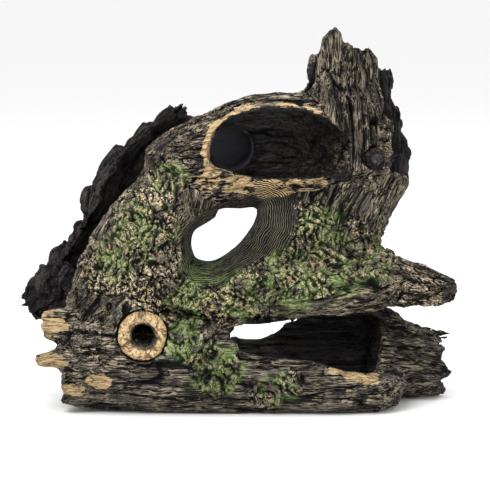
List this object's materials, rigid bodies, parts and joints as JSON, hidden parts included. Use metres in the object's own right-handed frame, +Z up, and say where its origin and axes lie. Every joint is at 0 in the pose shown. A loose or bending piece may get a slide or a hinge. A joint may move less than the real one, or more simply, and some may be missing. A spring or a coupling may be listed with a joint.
{
  "type": "aquarium cave ornament",
  "caption": "Resin driftwood cave: hollow base log with front mouth and rear door, mossy logs round an eye-shaped window, hollow upper log, broken stump and side branch.",
  "frame": {"origin": "bottom centre of the bounding box, on the floor the ornament stands on", "axes": "+X towards the side branch, -Y out of the cave mouth (front), +Z up"},
  "size_m": [0.1804, 0.0752, 0.15],
  "materials": {
    "grainBark": "matte",
    "mossBark": "matte",
    "ridgeBark": "matte",
    "darkBark": "matte",
    "tanWood": "matte"
  },
  "bodies": {
    "root": {"base_log": "grainBark", "log_end": "grainBark", "leaning_trunk": "mossBark", "bridge_log": "mossBark", "right_post": "mossBark", "upper_log": "ridgeBark", "stump_front": "ridgeBark", "stump_back": "darkBark", "rear_leaning_log": "darkBark", "side_branch": "ridgeBark", "knot_collar": "tanWood", "twig_stub": "darkBark"}
  },
  "joints": []
}
